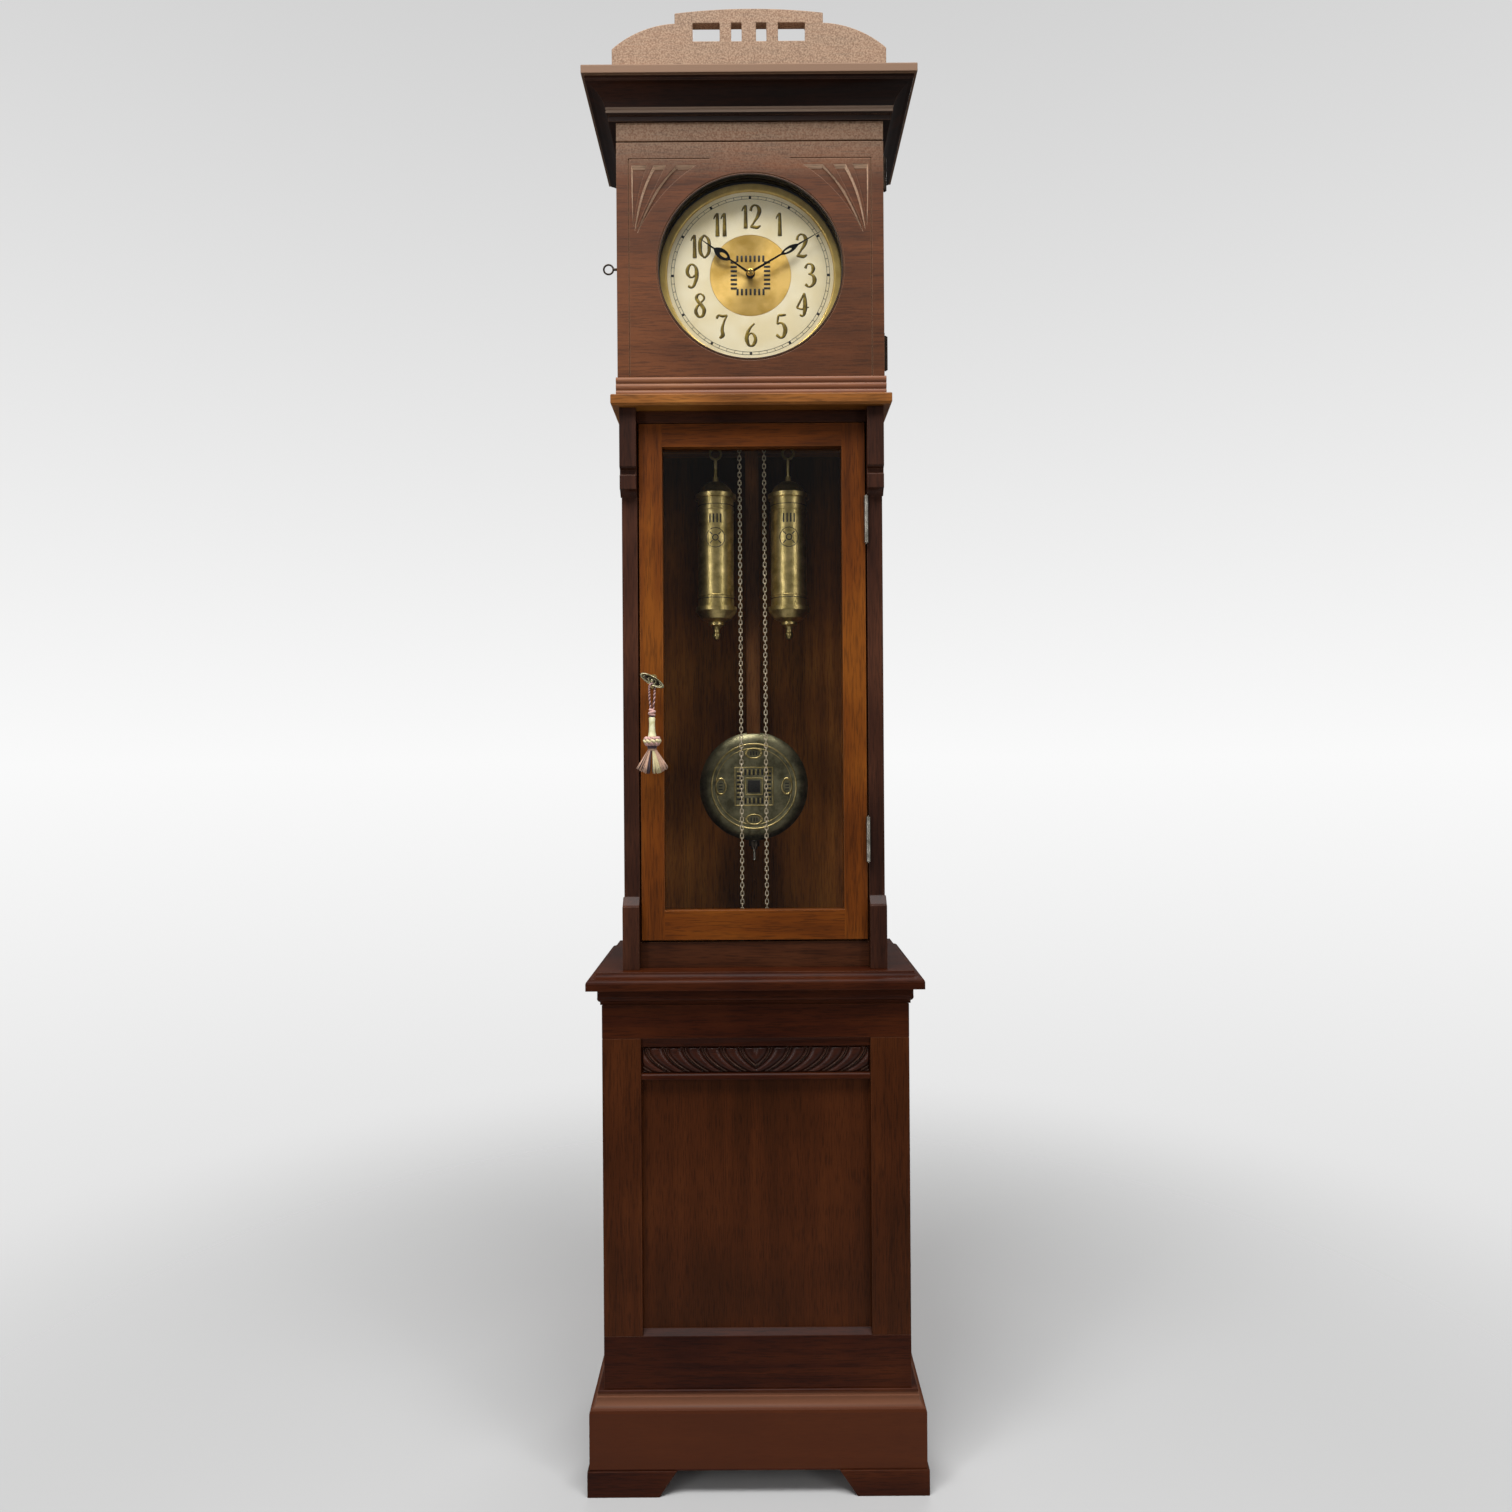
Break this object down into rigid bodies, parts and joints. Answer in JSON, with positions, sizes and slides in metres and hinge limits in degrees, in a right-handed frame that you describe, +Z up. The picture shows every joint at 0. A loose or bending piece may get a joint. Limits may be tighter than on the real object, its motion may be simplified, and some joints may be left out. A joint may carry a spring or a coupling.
{
  "type": "longcase clock",
  "caption": "Tall wooden pendulum clock with a glazed trunk door, round dial window, two chain weights and a pierced crest.",
  "frame": {"origin": "middle of the footprint on the floor", "axes": "+Z up, the dial looks along -Y, +X to the right as seen from the front"},
  "size_m": [0.464, 0.29, 2.04],
  "materials": {
    "base_wood": "dark polished mahogany",
    "trunk_wood": "dark polished mahogany",
    "door_wood": "warm polished mahogany",
    "hood_wood": "faded mahogany",
    "board_wood": "plain dark pine",
    "brass": "polished brass",
    "aged_brass": "antique brass",
    "silvered": "silvered, brushed",
    "steel": "nickel-plated steel",
    "blued": "blued steel",
    "glass": "clear",
    "cord": "twisted silk",
    "ivory": "ivory-coloured turned head",
    "fringe": "silk fringe"
  },
  "bodies": {
    "case": {"feet": "base_wood", "plinth": "base_wood", "base_rails": "base_wood", "base_stiles": "base_wood", "base_panel": "base_wood", "case_sides": "base_wood", "base_top_moulding": "base_wood", "backboard": "board_wood", "trunk_pilasters": "trunk_wood", "trunk_rails": "trunk_wood", "trunk_cap": "trunk_wood", "hood_sides": "hood_wood", "hood_frieze": "hood_wood", "cornice": "hood_wood", "crest": "hood_wood", "seat_board": "board_wood", "dial_mask": "board_wood", "movement_frame": "brass", "dial_bezel": "brass", "chapter_ring": "silvered", "dial_centre": "brass", "pendulum_cock": "brass", "gong": "steel", "trunk_hinge_case_leaves": "steel", "hood_hinge_case_leaves": "blued"},
    "trunk_door": {"trunk_door_frame": "door_wood", "trunk_door_glass": "glass", "trunk_glazing_beads": "door_wood", "trunk_hinge_door_leaves": "steel", "trunk_lock": "aged_brass"},
    "lock_bolt": {"trunk_lock_bolt": "steel"},
    "trunk_key": {"trunk_key": "aged_brass"},
    "tassel": {"tassel_cord": "cord", "tassel_head": "ivory", "tassel_skirt": "fringe"},
    "hood_door": {"hood_door_frame": "hood_wood", "hood_door_glass": "glass", "hood_glazing_ring": "hood_wood", "hood_hinge_door_leaves": "blued"},
    "hood_key": {"hood_key": "steel"},
    "minute_hand": {"minute_hand": "blued", "minute_arbor": "brass"},
    "hour_hand": {"hour_hand": "blued"},
    "left_weight": {"left_weight_tube": "aged_brass", "left_weight_caps": "aged_brass", "left_loaded_chain": "steel"},
    "right_weight": {"right_weight_tube": "aged_brass", "right_weight_caps": "aged_brass", "right_loaded_chain": "steel"},
    "left_tail": {"left_free_chain": "steel"},
    "right_tail": {"right_free_chain": "steel"},
    "pendulum": {"pendulum_rod": "trunk_wood", "pendulum_steel": "steel", "pendulum_bob": "aged_brass"},
    "rating_nut": {"rating_nut": "brass"},
    "left_wheel": {"left_chain_wheel": "brass"},
    "right_wheel": {"right_chain_wheel": "brass"},
    "escape_wheel": {"escape_wheel": "brass"},
    "anchor": {"anchor": "steel"},
    "hammer": {"hammer": "steel"}
  },
  "joints": [
    {"name": "trunk_door_hinge", "type": "hinge", "parent": "case", "child": "trunk_door", "pos_m": [0.1583, -0.1084, 1.108], "axis": [0, 0, 1], "range_deg": [0, 105]},
    {"name": "hood_door_hinge", "type": "hinge", "parent": "case", "child": "hood_door", "pos_m": [0.1884, -0.093, 1.69], "axis": [0, 0, 1], "range_deg": [0, 110]},
    {"name": "trunk_key_turn", "type": "hinge", "parent": "trunk_door", "child": "trunk_key", "pos_m": [-0.139, -0.1, 1.107], "axis": [0, 1, 0], "range_deg": [0, 90]},
    {"name": "lock_bolt_slide", "type": "slide", "parent": "trunk_door", "child": "lock_bolt", "axis": [-1, 0, 0], "range_m": [0, 0.008]},
    {"name": "tassel_hang", "type": "hinge", "parent": "trunk_key", "child": "tassel", "pos_m": [-0.139, -0.1264, 1.0985], "axis": [0, 1, 0], "range_deg": [-92, 2]},
    {"name": "hood_key_turn", "type": "hinge", "parent": "hood_door", "child": "hood_key", "pos_m": [-0.19, -0.102, 1.681], "axis": [-1, 0, 0], "range_deg": [0, 90]},
    {"name": "minute_hand_turn", "type": "hinge", "parent": "case", "child": "minute_hand", "pos_m": [0, -0.09, 1.681], "axis": [0, 1, 0], "continuous": true},
    {"name": "hour_hand_turn", "type": "hinge", "parent": "case", "child": "hour_hand", "pos_m": [0, -0.086, 1.681], "axis": [0, 1, 0], "continuous": true},
    {"name": "pendulum_swing", "type": "hinge", "parent": "case", "child": "pendulum", "pos_m": [0, 0.035, 1.736], "axis": [0, 1, 0], "range_deg": [-3.5, 3.5]},
    {"name": "anchor_rock", "type": "hinge", "parent": "case", "child": "anchor", "pos_m": [0, 0, 1.736], "axis": [0, 1, 0], "range_deg": [-3.6, 3.6]},
    {"name": "rating_nut_turn", "type": "hinge", "parent": "pendulum", "child": "rating_nut", "pos_m": [0, 0.035, 0.868], "axis": [0, 0, 1], "continuous": true},
    {"name": "escape_wheel_turn", "type": "hinge", "parent": "case", "child": "escape_wheel", "pos_m": [0, -0.011, 1.706], "axis": [0, 1, 0], "continuous": true},
    {"name": "hammer_strike", "type": "hinge", "parent": "case", "child": "hammer", "pos_m": [0.06, 0.068, 1.565], "axis": [0, 1, 0], "range_deg": [-2.5, 12], "stiffness_Nm_per_rad": 0.05},
    {"name": "left_weight_drop", "type": "slide", "parent": "case", "child": "left_weight", "axis": [0, 0, -1], "range_m": [0, 0.95], "deforming": ["left_loaded_chain"]},
    {"name": "left_tail_rise", "type": "slide", "parent": "case", "child": "left_tail", "axis": [0, 0, 1], "range_m": [0, 0.95], "deforming": ["left_free_chain"]},
    {"name": "left_wheel_turn", "type": "hinge", "parent": "case", "child": "left_wheel", "pos_m": [-0.0355, -0.02, 1.61], "axis": [0, 1, 0], "range_deg": [-3114.34, 0]},
    {"name": "right_weight_drop", "type": "slide", "parent": "case", "child": "right_weight", "axis": [0, 0, -1], "range_m": [0, 0.95], "deforming": ["right_loaded_chain"]},
    {"name": "right_tail_rise", "type": "slide", "parent": "case", "child": "right_tail", "axis": [0, 0, 1], "range_m": [0, 0.95], "deforming": ["right_free_chain"]},
    {"name": "right_wheel_turn", "type": "hinge", "parent": "case", "child": "right_wheel", "pos_m": [0.0355, -0.02, 1.61], "axis": [0, 1, 0], "range_deg": [0, 3114.34]}
  ],
  "couplings": [
    {"joint": "hour_hand_turn", "follows": "minute_hand_turn", "ratio": 0.083333},
    {"joint": "anchor_rock", "follows": "pendulum_swing", "ratio": 1},
    {"joint": "lock_bolt_slide", "follows": "trunk_key_turn", "m_per_rad": 0.005093},
    {"joint": "tassel_hang", "follows": "trunk_key_turn", "ratio": -1},
    {"joint": "left_tail_rise", "follows": "left_weight_drop", "ratio": 1},
    {"joint": "right_tail_rise", "follows": "right_weight_drop", "ratio": 1},
    {"joint": "left_wheel_turn", "follows": "left_weight_drop", "rad_per_m": -57.143},
    {"joint": "right_wheel_turn", "follows": "right_weight_drop", "rad_per_m": 57.143}
  ]
}
